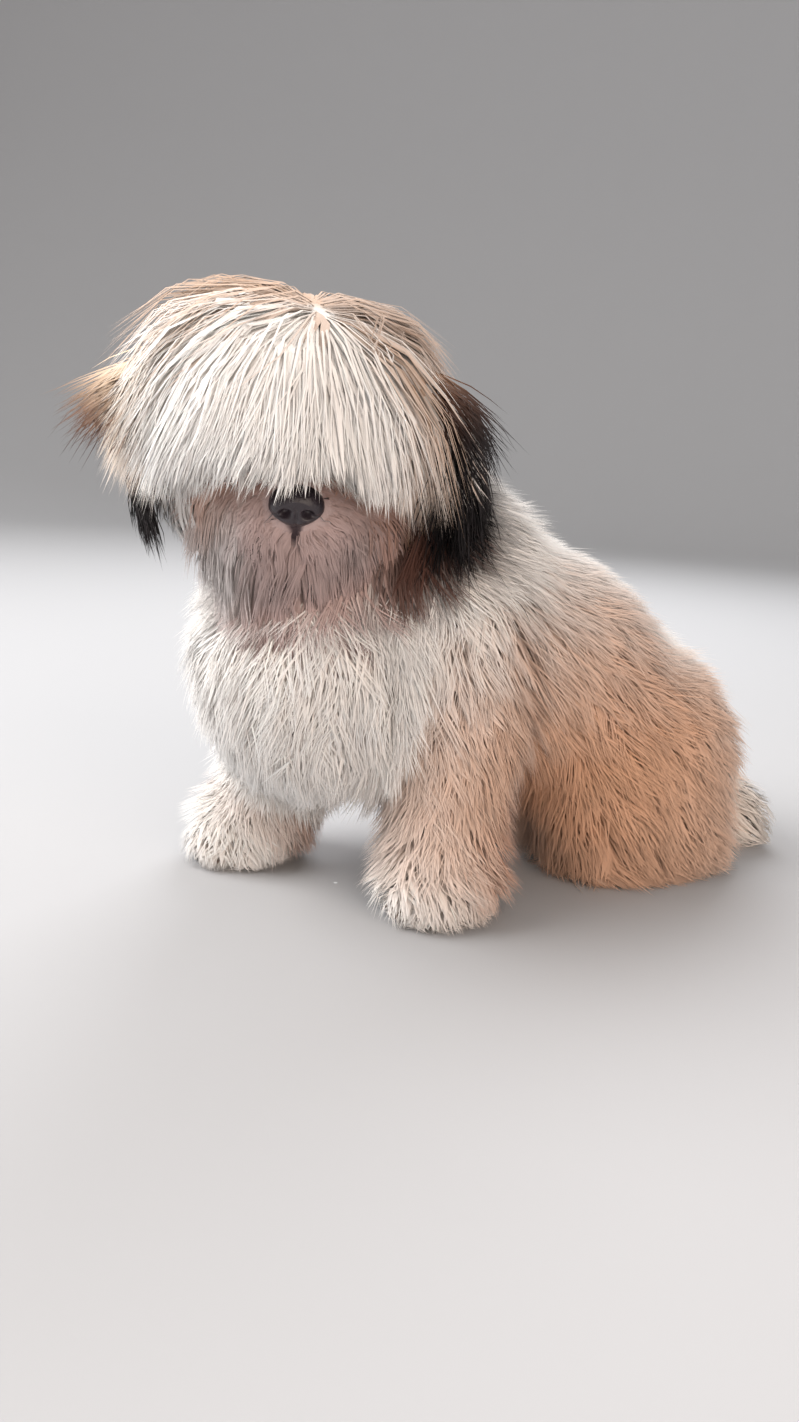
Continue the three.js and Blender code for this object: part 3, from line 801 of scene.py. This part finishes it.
BROAD = {"width": 3.4, "steps": 2, "sway": 0.25, "depth": (0.85, 1.0), "thin": 0.3}
LOOSE = {"steps": 2, "stray": 0.08}
coat("coat_under", TRUNK, 9400, long_hair(34, 21.5, 0.6), body_lie, density=filled, **BROAD)
coat("coat_under_legs", ["fore_left", "fore_right"], 2600, long_hair(28, 17, 0.5), leg_lie, **BROAD)
coat("coat_neck", ["neck"], 7000, long_hair(44, 25), body_lie, 0.95, **LOOSE)
coat("coat_chest", ["torso"], 12500, long_hair(40, 25), body_lie, 0.95, density=chest, **LOOSE)
for name, side in SIDES.items():
    coat("coat_back_" + name, ["torso"], 10500, long_hair(40, 25), body_lie, 0.95,
         density=back_half(side), **LOOSE)
coat("coat_forelegs", ["fore_left", "fore_right"], 13000, long_hair(32, 20, 0.5), leg_lie, 0.7, 2)
for name in SIDES:
    coat("coat_hind_" + name, ["hind_" + name], 5600, long_hair(38, 23), thigh_lie, 0.9, **LOOSE)
coat("coat_tail", ["tail"], 1200, long_hair(42, 18), tail_lie, 0.9)


# The head. Its sizes are given at these heights on the skull, in degrees from its middle.
CLIMBS = [-40, -8, 20, 38, 60, 78, 90]


def head_style(point):
    """Sizes for the head's tufts, by the turn and climb of the root as seen from the skull's middle."""
    turn, climb = head_angles(point)
    length = np.interp(climb, CLIMBS, [40, 44, 44, 46, 66, 84, 88])
    side = ramp(turn, 16, 50) * (1 - ramp(turn, 90, 120)) * ramp(climb, 20, 45)
    length = length + 20 * side
    rise = np.interp(climb, CLIMBS, [18, 20, 17, 18, 28, 36, 38]) + 3 * side
    q = to_head(point)
    high = ramp(climb, 50, 66)
    rise = rise - 10 * high * ramp(q[:, 0], 6, 22) + 6 * high * ramp(q[:, 1], -6, 8)
    parted = 1 - ramp(np.linalg.norm(point - parting_place(point), axis=1), 4, 26)
    nape = ramp(turn, 84, 104) * (1 - ramp(climb, 62, 80))
    length = mix(length, 50, nape)
    rise = mix(rise, 23, nape)
    low = 1 - ramp(climb, -10, 20)
    face = (1 - ramp(climb, 14, 28)) * (1 - ramp(turn, 42, 60)) * ramp(climb, -40, -20)
    return {
        "length": mix(length, 11, face),
        "rise": mix(rise, 4, face),
        "stand": mix(mix(0.5, 0.2, parted), 0.35, nape),
        "hang": mix(0.2, 0.1, nape),
        "cling": np.maximum(mix(0.25, 0.8, nape), 0.4 * low),
        "climb": mix(mix(0.5, 0.95, parted), 0.8, nape),
    }


def apart(p, clear):
    """Whether each place is further than a distance from the parting."""
    return np.linalg.norm(p - parting_place(p), axis=1) > clear


def front(p, clear=3):
    """1 on the front of the skull and more on its top, 0 behind and near the parting."""
    return (to_head(p)[:, 1] < 2) * apart(p, clear) * (1 + 1.2 * ramp(head_angles(p)[1], 36, 60))


def behind(p):
    """1 on the back of the skull, 0 ahead and near the parting."""
    return (to_head(p)[:, 1] >= 2) * apart(p, 4)


def half_front(side):
    """The front of the skull on one side of the parting."""
    return lambda p: front(p) * (to_head(p)[:, 0] * side > 0)


def fringe_edge(tips):
    """The height at which the forelock ends: over the nose in the middle, lower at the sides, and lowest
    on the dog's left, in a line with steps in it."""
    q = to_head(tips)
    turn = np.degrees(np.arctan2(q[:, 0], -q[:, 1]))
    low = np.where(turn > 0, 187, 192)
    steps = 2.5 * np.sin(0.19 * turn) + 2.5 * np.sin(0.47 * turn + 1)
    return mix(204, low, ramp(np.abs(turn), 12, 60)) + steps


def fringe_tint(base, place, own):
    """Turns the forelock's locks tan and cream where they hang at the sides of the head, some more than
    others."""
    x = to_head(place)[:, 0]
    luck = rng.random(len(base))[own]
    right = ramp(-x, 50, 66) * mix(0.35, 0.9, luck)
    left = ramp(x, 34, 62) * mix(0.0, 0.95, luck ** 1.5)
    return mix(mix(base, FAWN, column(right)), TAN, column(left))


HEAD = {"sway": 0.16, "curl": (3.0, 1.0), "root": PALE_ROOT_SHADE, "crowd": 1.3}
CROWN = ["skull"]
coat("coat_forelock_under", CROWN, 5000, head_style, crown_lie, 4.0, 4, lambda p: front(p, 9), (10, 0.35),
     depth=(0.91, 0.98), thin=0.25, edge=lambda tips: fringe_edge(tips) + 3, tint=fringe_tint, **HEAD)
for name, side in SIDES.items():
    coat("coat_forelock_" + name, CROWN, 6300, head_style, crown_lie, 1.05, 4, half_front(side),
         (18, 0.35), depth=(0.94, 1.03), thin=0.45, edge=fringe_edge, tint=fringe_tint, **HEAD)
coat("coat_nape_under", CROWN, 1800, head_style, crown_lie, 3.4, 3, behind, (10, 0.3), depth=(0.6, 0.88),
     thin=0.3, **HEAD)
coat("coat_nape", CROWN, 4600, head_style, crown_lie, 0.95, 3, behind, (14, 0.35), **HEAD)


def muzzle_style(point):
    """Sizes for the moustache and beard, short round the nose and on the bridge, longest at the sides."""
    q = to_head(point)
    away = np.maximum(NOSE_BALL(point), 0)
    bridge = ramp(q[:, 2], -10, -2) * (1 - ramp(np.abs(q[:, 0]), 8, 16))
    chin = ramp(-q[:, 2], 22, 34)
    length = np.interp(away, [0, 6, 16, 30], [6, 18, 40, 50]) + 6 * chin
    rise = np.interp(away, [0, 6, 16, 30], [1.5, 5, 13, 18])
    return {
        "length": mix(length, 9, bridge),
        "rise": mix(rise, 3, bridge),
        "stand": 0.4, "hang": mix(0.2, 0.35, chin), "cling": 0.05, "climb": 0.6,
    }


def muzzle_lie(p, normal):
    """Away from the nose on every side and down below it, and free of the skin at the lips and chin."""
    low = 1 - ramp(to_head(p)[:, 2], -14, 0)
    free = 1 - ramp(to_head(p)[:, 2], -34, -14)
    aside = column(0.5 * np.sign(to_head(p)[:, 0]) * low) * HEAD_TURN[:, 0]
    way = flat(unit(p - on_head(0, -56, -9)) + column(0.25 + 0.6 * low) * DOWN + aside, normal)
    return unit(mix(way, DOWN + 0.35 * normal, column(0.75 * free)))


coat("coat_muzzle", ["muzzle"], 7600, muzzle_style, muzzle_lie, 0.85, lock=(14, 0.55), curl=(1.8, 0.8),
     sway=0.3, thin=0.45, root=PALE_ROOT_SHADE)


def ear_coat(name, side, count):
    """The hair of one ear, along its leaf and past its tip, darker the further down it hangs. On its
    upper part the outer tufts flare out. Some of the inner ones lean in towards the cheek."""
    along, thin, wide = ear_axes(side)[1:]
    point, place = roots(["ear_" + name], count)
    share, x, lift = on_ear(side, point)
    low = ramp(share, 0.15, 0.5)
    outer = lift > -0.5
    flare = mix((0.9 if side < 0 else 0.5) + rng.normal(0, 0.25, count), -0.15, low) * outer
    drawn = unit(mix(along, DOWN - 0.3 * thin, column(0.9 * low * (side < 0))))
    inner = low * (rng.random(count) < (0.6 if side > 0 else 0.3)) * (x * side < 0.1)
    drawn = unit(drawn - column(inner * rng.uniform(0.2, 0.8, count)) * thin)
    way = unit(drawn + column(x * 0.5 + rng.normal(0, 0.15, count)) * wide + column(flare) * thin)
    high_hair, low_hair = (54, EAR_HAIR[name] - 14) if side < 0 else (52, EAR_HAIR[name] - 5)
    sizes = {
        "length": mix(high_hair, low_hair, low) * rng.uniform(0.55, 1.1, count),
        "rise": mix(6.0, 28.0, inner), "stand": np.full(count, 0.15), "hang": np.full(count, 0.14),
        "cling": np.zeros(count), "climb": np.full(count, 0.6), "sway": rng.normal(0, 0.3, count),
    }
    line, outs = grow(point, sizes, lambda p, normal: way)
    outs = np.broadcast_to((thin * np.where(outer, 1, -1)[:, None])[:, None], line.shape)
    own = lock_guides(point, 12)
    line = gather(point, line, own, 0.4)
    line, outs = redraw(wave(line, outs, own, 2.6, 0.8), outs, 4)
    colour = ear_colours(side, line)
    size = 0.95 * rng.uniform(0.7, 1.3, count)
    coats.append(tufts("coat_ear_" + name, line, outs, place, size, shades(colour, 0.15, PALE_ROOT_SHADE)))


for name, side in SIDES.items():
    ear_coat(name, side, 2800)


# Eyes, nose and claws.
def sphere(rows, columns):
    """Points of a ball of radius 1 with its poles on the y axis, and its triangles."""
    tilt = np.linspace(0, math.pi, rows + 1)[1:-1]
    turn = np.arange(columns) * 2 * math.pi / columns
    t, u = np.meshgrid(tilt, turn, indexing="ij")
    body = np.stack([np.sin(t) * np.cos(u), -np.cos(t), np.sin(t) * np.sin(u)], -1).reshape(-1, 3)
    points = np.concatenate([body, [[0, -1, 0], [0, 1, 0]]])
    faces = []
    for i in range(rows - 2):
        a = i * columns + np.arange(columns)
        b = i * columns + (np.arange(columns) + 1) % columns
        faces += [np.stack([a, b, b + columns], -1), np.stack([a, b + columns, a + columns], -1)]
    first = np.arange(columns)
    onward = (first + 1) % columns
    last = (rows - 2) * columns
    faces.append(np.stack([onward, first, np.full(columns, len(body))], -1))
    faces.append(np.stack([first + last, onward + last, np.full(columns, len(body) + 1)], -1))
    return points, np.concatenate(faces)


IRIS = np.array([0.07, 0.028, 0.012])
PUPIL = np.array([0.006, 0.004, 0.004])
RIM = np.array([0.03, 0.015, 0.012])


def eye(name, at):
    """A ball with a cornea: about the way that it looks, the ball bulges by 5% of its radius. It is
    coloured by the angle from that way: a pupil, an iris and a dark rim."""
    points, faces = sphere(28, 36)
    angle = np.degrees(np.arccos(np.clip(-points[:, 1], -1, 1)))
    points = points * EYE_RADIUS * column(1 + 0.05 * (1 - ramp(angle, 24, 44)))
    turn = HEAD_TURN @ np.array(Matrix.Rotation(math.radians(12 * SIDES[name]), 3, "Z"))
    piece = add_mesh("eye_" + name + "_ball", points @ turn.T + at, faces)
    inner = mix(IRIS, PUPIL, column(1 - ramp(angle, 20, 26)))
    paint(piece, mix(inner, RIM, column(ramp(angle, 42, 50))))
    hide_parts("eye_" + name)
    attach(piece, "root")
    return piece


eyes = [eye(name, at) for name, at in EYES.items()]


def nose():
    """A ball of three radii, squared a little, flat at its front, with a nostril curled in at each side and
    a groove down its middle."""
    points, faces = sphere(64, 80)
    squared = np.sign(points) * np.abs(points) ** 0.86
    squared = squared / np.maximum(np.linalg.norm(squared, axis=1, keepdims=True), 1e-9) ** 0.4
    x, y, z = squared.T
    narrow = mix(1.0, 0.74, ramp(-z, 0.1, 1.0))
    p = np.stack([x * narrow, np.maximum(y, -0.86), z], -1) * NOSE_RADII
    ahead = ramp(-p[:, 1], 1.5, 5)
    for side in (1, -1):
        hole = np.exp(-(((p[:, 0] - 4.6 * side) / 2.3) ** 2 + ((p[:, 2] + 0.6) / 1.7) ** 2) ** 1.5)
        slit = np.exp(-(((p[:, 0] - 7.4 * side) / 2.4) ** 2 + ((p[:, 2] + 2.2) / 0.9) ** 2))
        p[:, 1] += 3.6 * hole * ahead + 1.6 * slit * ahead
    p[:, 1] += 0.9 * np.exp(-(p[:, 0] / 0.8) ** 2) * ramp(-p[:, 2], -3, 1) * ahead
    piece = add_mesh("nose_pad", p @ HEAD_TURN.T + NOSE_AT, faces)
    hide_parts("nose")
    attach(piece, "root")
    return piece


nose_pad = nose()


PAWS = [((53, 25, 11), 17, 22), ((-53, -27, 11), 17, 22), ((39, 145, 11), 15, 19), ((-39, 145, 11), 15, 19)]


def claws():
    """Four claws on each paw: a curved cone on a line that goes ahead and down. A paw is its middle, half
    its width and half its length."""
    points, faces = sphere(10, 10)
    every, all_faces = [], []
    for at, wide, deep in PAWS:
        for spread in (-0.72, -0.26, 0.26, 0.72):
            t = (1 - points[:, 1]) / 2
            from_middle = [wide * 0.95 * math.sin(spread), -deep * 0.98 * math.cos(spread), -2.0]
            base = np.array(at) + np.array(from_middle)
            ahead = np.array([math.sin(spread), -math.cos(spread), 0])
            across = np.array([-ahead[1], ahead[0], 0])
            size = 1.7 * (0.25 + 0.75 * (1 - t) ** 0.8)
            drop = -4.5 * t * t
            p = base + column(t * 9 - 2) * ahead + column(points[:, 0] * size) * across
            p[:, 2] += points[:, 2] * size + drop
            p[:, 2] = np.maximum(p[:, 2], TUFT_FLOOR)
            all_faces.append(faces + len(points) * len(every))
            every.append(p)
    piece = add_mesh("claws", np.concatenate(every), np.concatenate(all_faces))
    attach(piece, "root")
    return piece


claw_set = claws()


# Materials.
class Socket:
    """A shader value that adds a Math node for each sign used on it."""

    def __init__(self, shader, socket):
        self.shader, self.socket = shader, socket

    def _with(self, operation, *others):
        return self.shader.add("Math", {"operation": operation}, *others)

    def __add__(self, other):
        return self._with("ADD", self, other)

    __radd__ = __add__

    def __mul__(self, other):
        return self._with("MULTIPLY", self, other)

    __rmul__ = __mul__


class Shader:
    """A material whose nodes are added one by one from their type, settings and inputs."""

    def __init__(self, name):
        self.material = bpy.data.materials.new(name)
        self.material.use_nodes = True
        self.nodes = self.material.node_tree.nodes
        self.links = self.material.node_tree.links
        self.main = self.nodes["Principled BSDF"]

    def add(self, kind, settings, *values, output=0, **named):
        node = self.nodes.new("ShaderNode" + kind)
        for key, value in settings.items():
            setattr(node, key, value)
        for key, value in [*enumerate(values), *named.items()]:
            self.put(node.inputs[key], value)
        return Socket(self, node.outputs[output])

    def put(self, socket, value):
        if isinstance(value, Socket):
            self.links.new(value.socket, socket)
        else:
            socket.default_value = value

    def painted(self):
        return self.add("Attribute", {"attribute_name": "coat"}, output="Color")

    def finish(self, **values):
        for key, value in values.items():
            self.put(self.main.inputs[key.replace("_", " ")], value)
        return self.material


def noise(shader, scale, detail=3):
    """Noise on the model's own coordinates, with a scale for each metre."""
    place = shader.add("TexCoord", {}, output="Object")
    return shader.add("TexNoise", {}, Vector=place, Scale=scale, Detail=detail)


def hair_material(name, sheen):
    """Soft hair: the painted colour, made uneven, and a sheen."""
    s = Shader(name)
    uneven = noise(s, 60) * 0.12 + 0.94
    shade = s.add("CombineColor", {}, uneven, uneven, uneven)
    mixed = s.add("Mix", {"data_type": "RGBA", "blend_type": "MULTIPLY"}, 1.0, output=2)
    first, second = mixed.socket.node.inputs[6:8]
    s.put(first, s.painted())
    s.put(second, shade)
    return s.finish(Base_Color=mixed, Roughness=0.75, Sheen_Weight=sheen, Sheen_Roughness=0.5,
                    Specular_IOR_Level=0.15)


def skin_material():
    """The skin under the coat, with a fine uneven nap."""
    s = Shader("skin")
    bump = s.add("Bump", {}, Strength=0.4, Distance=0.001, Height=noise(s, 500))
    return s.finish(Base_Color=s.painted(), Roughness=0.7, Normal=bump)


def eye_material():
    """A wet dark eye."""
    s = Shader("eye")
    return s.finish(Base_Color=s.painted(), Roughness=0.04, Coat_Weight=0.6, Coat_Roughness=0.03)


def nose_material():
    """Damp, finely pebbled leather, near black."""
    s = Shader("nose leather")
    place = s.add("TexCoord", {}, output="Object")
    cells = s.add("TexVoronoi", {"feature": "SMOOTH_F1"}, Vector=place, Scale=900.0)
    bump = s.add("Bump", {}, Strength=0.35, Distance=0.0006, Height=cells)
    return s.finish(Base_Color=(0.028, 0.02, 0.026, 1), Roughness=noise(s, 300) * 0.3 + 0.25, Normal=bump,
                    Coat_Weight=0.15)


def claw_material():
    """Smooth horn."""
    s = Shader("horn")
    return s.finish(Base_Color=(0.2, 0.14, 0.11, 1), Roughness=0.35)


def dress(piece, material):
    """Gives a piece its material."""
    piece.data.materials.append(material)


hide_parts("head", "neck", "torso", "tail", "front_leg_left", "front_leg_right", "hind_leg_left",
            "hind_leg_right", "ear_left", "ear_right")
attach(skin, "root")
dress(skin, skin_material())
pale_hair = hair_material("long hair", 0.3)
dark_hair = hair_material("ear hair", 0.02)
for piece in coats:
    slot = "coat_ear" if "coat_ear" in piece.name else "coat_white"
    if any(word in piece.name for word in ("forelock", "nape", "muzzle")):
        slot = "coat_head"
    dress(piece, dark_hair if slot == "coat_ear" else pale_hair)
for piece in eyes:
    dress(piece, eye_material())
dress(nose_pad, nose_material())
dress(claw_set, claw_material())


# The stage: a pale floor, soft light and the camera. Lights are placed in metres.
MODEL_MIDDLE = np.array([0, 0, 0.13])


def stage():
    """A wide round floor whose rim curves up into a wall, the same seen from every side: rings of points
    at a run and a height that follow a quarter of a circle."""
    turn = np.arange(64) * 2 * math.pi / 64
    bend = np.linspace(0, math.pi / 2, 14)
    run = np.concatenate([[1, 800, 1600], 2200 + 1200 * np.sin(bend), [3400]])
    rise = np.concatenate([np.zeros(3), 1200 * (1 - np.cos(bend)), [2600]])
    x, y = run[:, None] * np.cos(turn), run[:, None] * np.sin(turn)
    points = np.stack([x, y, np.broadcast_to(rise[:, None], x.shape)], -1)
    number = np.arange(x.size).reshape(x.shape)
    onward = np.roll(number, -1, 1)
    faces = np.stack([number[:-1], number[1:], onward[1:], onward[:-1]], -1).reshape(-1, 4)
    floor = add_mesh("floor", points.reshape(-1, 3), faces)
    s = Shader("pale floor")
    floor.data.materials.append(s.finish(Base_Color=(0.46, 0.46, 0.47, 1), Roughness=0.8))


def stand_at(name, data, at, right, up, back):
    """An object of the stage at a place, with its x, y and z axes turned to three ways."""
    thing = bpy.data.objects.new(name, data)
    turn = np.stack([right, up, back], 1)
    thing.matrix_world = Matrix([[*row, p] for row, p in zip(turn, at)] + [[0, 0, 0, 1]])
    bpy.context.scene.collection.objects.link(thing)
    return thing


def light(name, at, power, size, colour):
    """A square soft light that faces the model's middle."""
    data = bpy.data.lights.new(name, "AREA")
    data.energy, data.size, data.color = power, size, colour
    away = unit(np.array(at, float) - MODEL_MIDDLE)
    side = unit(np.cross([0, 0, 1.0], away))
    stand_at(name, data, at, side, np.cross(away, side), away)


stage()
light("key", (-0.75, -1.4, 1.3), 62, 1.8, (1, 0.99, 0.98))
light("fill", (1.3, -0.3, 0.6), 12, 1.2, (1, 0.84, 0.72))
light("back", (-0.9, 0.9, 1.2), 18, 1.0, (0.97, 0.98, 1))
world = bpy.context.scene.world or bpy.data.worlds.new("world")
bpy.context.scene.world = world
world.use_nodes = True
sky = world.node_tree.nodes["Background"]
sky.inputs["Color"].default_value = (1, 0.98, 0.96, 1)
sky.inputs["Strength"].default_value = 0.58
bpy.context.scene.view_settings.view_transform = "Standard"

# The camera stands ahead of the dog on its left, a little above it, turned 3.5 degrees about its own view.
# Its focal length is known in pixels of a frame that is as high as FRAME_PIXELS.
FOCAL_PIXELS = 1095
FRAME_PIXELS = 1422
SENSOR = 36
CAMERA_AT = np.array([447.5, -269.0, 217.0])
TURN, TILT, ROLL = (math.radians(x) for x in (56, 13.5, 3.5))
ahead = np.array([-math.sin(TURN) * math.cos(TILT), math.cos(TURN) * math.cos(TILT), -math.sin(TILT)])
level = np.array([math.cos(TURN), math.sin(TURN), 0])
above = np.cross(level, ahead)
right = math.cos(ROLL) * level + math.sin(ROLL) * above
up = -math.sin(ROLL) * level + math.cos(ROLL) * above
camera_data = bpy.data.cameras.new("camera")
camera_data.lens = FOCAL_PIXELS / FRAME_PIXELS * SENSOR
camera = stand_at("camera", camera_data, (CAMERA_AT + SHIFT) / 1000, right, up, -ahead)
bpy.context.scene.camera = camera
